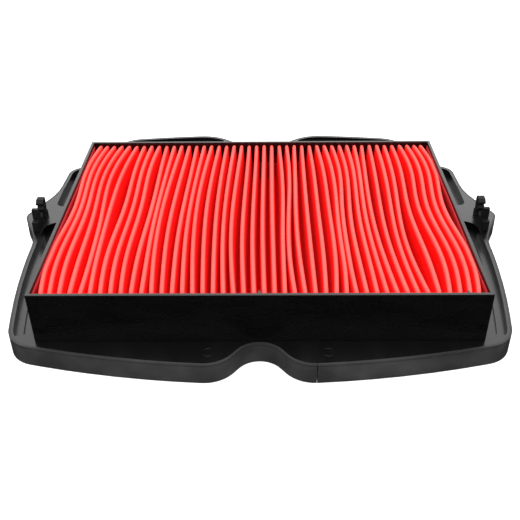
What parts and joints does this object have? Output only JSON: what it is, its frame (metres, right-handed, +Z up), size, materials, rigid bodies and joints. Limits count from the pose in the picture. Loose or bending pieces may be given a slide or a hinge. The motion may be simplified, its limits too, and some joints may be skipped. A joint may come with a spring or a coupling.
{
  "type": "panel air filter",
  "caption": "Flanged panel air filter: pleated paper in a thin-walled box on a wavy-edged flange with a rubber perimeter seal and a snap clip on each ear.",
  "frame": {"origin": "centre of the bounding box at the sealing face under the flange", "axes": "+X across the filter to the right seen from the notched front, +Y from the front edge to the rear edge, +Z up from the sealing face to the open rim of the box"},
  "size_m": [0.3168, 0.2742, 0.0433],
  "materials": {
    "frame_plastic": "moulded black polypropylene with a satin sheen",
    "clip_plastic": "moulded black nylon",
    "seal_rubber": "extruded dark grey rubber",
    "filter_paper": "red oil-wetted pleated filter paper",
    "bond_adhesive": "dark red adhesive"
  },
  "bodies": {
    "filter": {"perimeter_seal": "seal_rubber", "flange_tray": "frame_plastic", "element_casing": "frame_plastic", "pleated_paper": "filter_paper", "front_bond": "bond_adhesive", "rear_bond": "bond_adhesive", "left_bond": "bond_adhesive", "right_bond": "bond_adhesive", "support_grid": "frame_plastic", "left_clip_body": "clip_plastic", "right_clip_body": "clip_plastic"},
    "left_hook": {"left_clip_hook": "clip_plastic"},
    "right_hook": {"right_clip_hook": "clip_plastic"}
  },
  "joints": [
    {"name": "left_hook_flex", "type": "hinge", "parent": "filter", "child": "left_hook", "pos_m": [-0.1463, 0.0098, 0.0158], "axis": [-1, 0, 0], "range_deg": [0, 8], "stiffness_Nm_per_rad": 2},
    {"name": "right_hook_flex", "type": "hinge", "parent": "filter", "child": "right_hook", "pos_m": [0.1463, 0.0098, 0.0158], "axis": [-1, 0, 0], "range_deg": [0, 8], "stiffness_Nm_per_rad": 2}
  ]
}
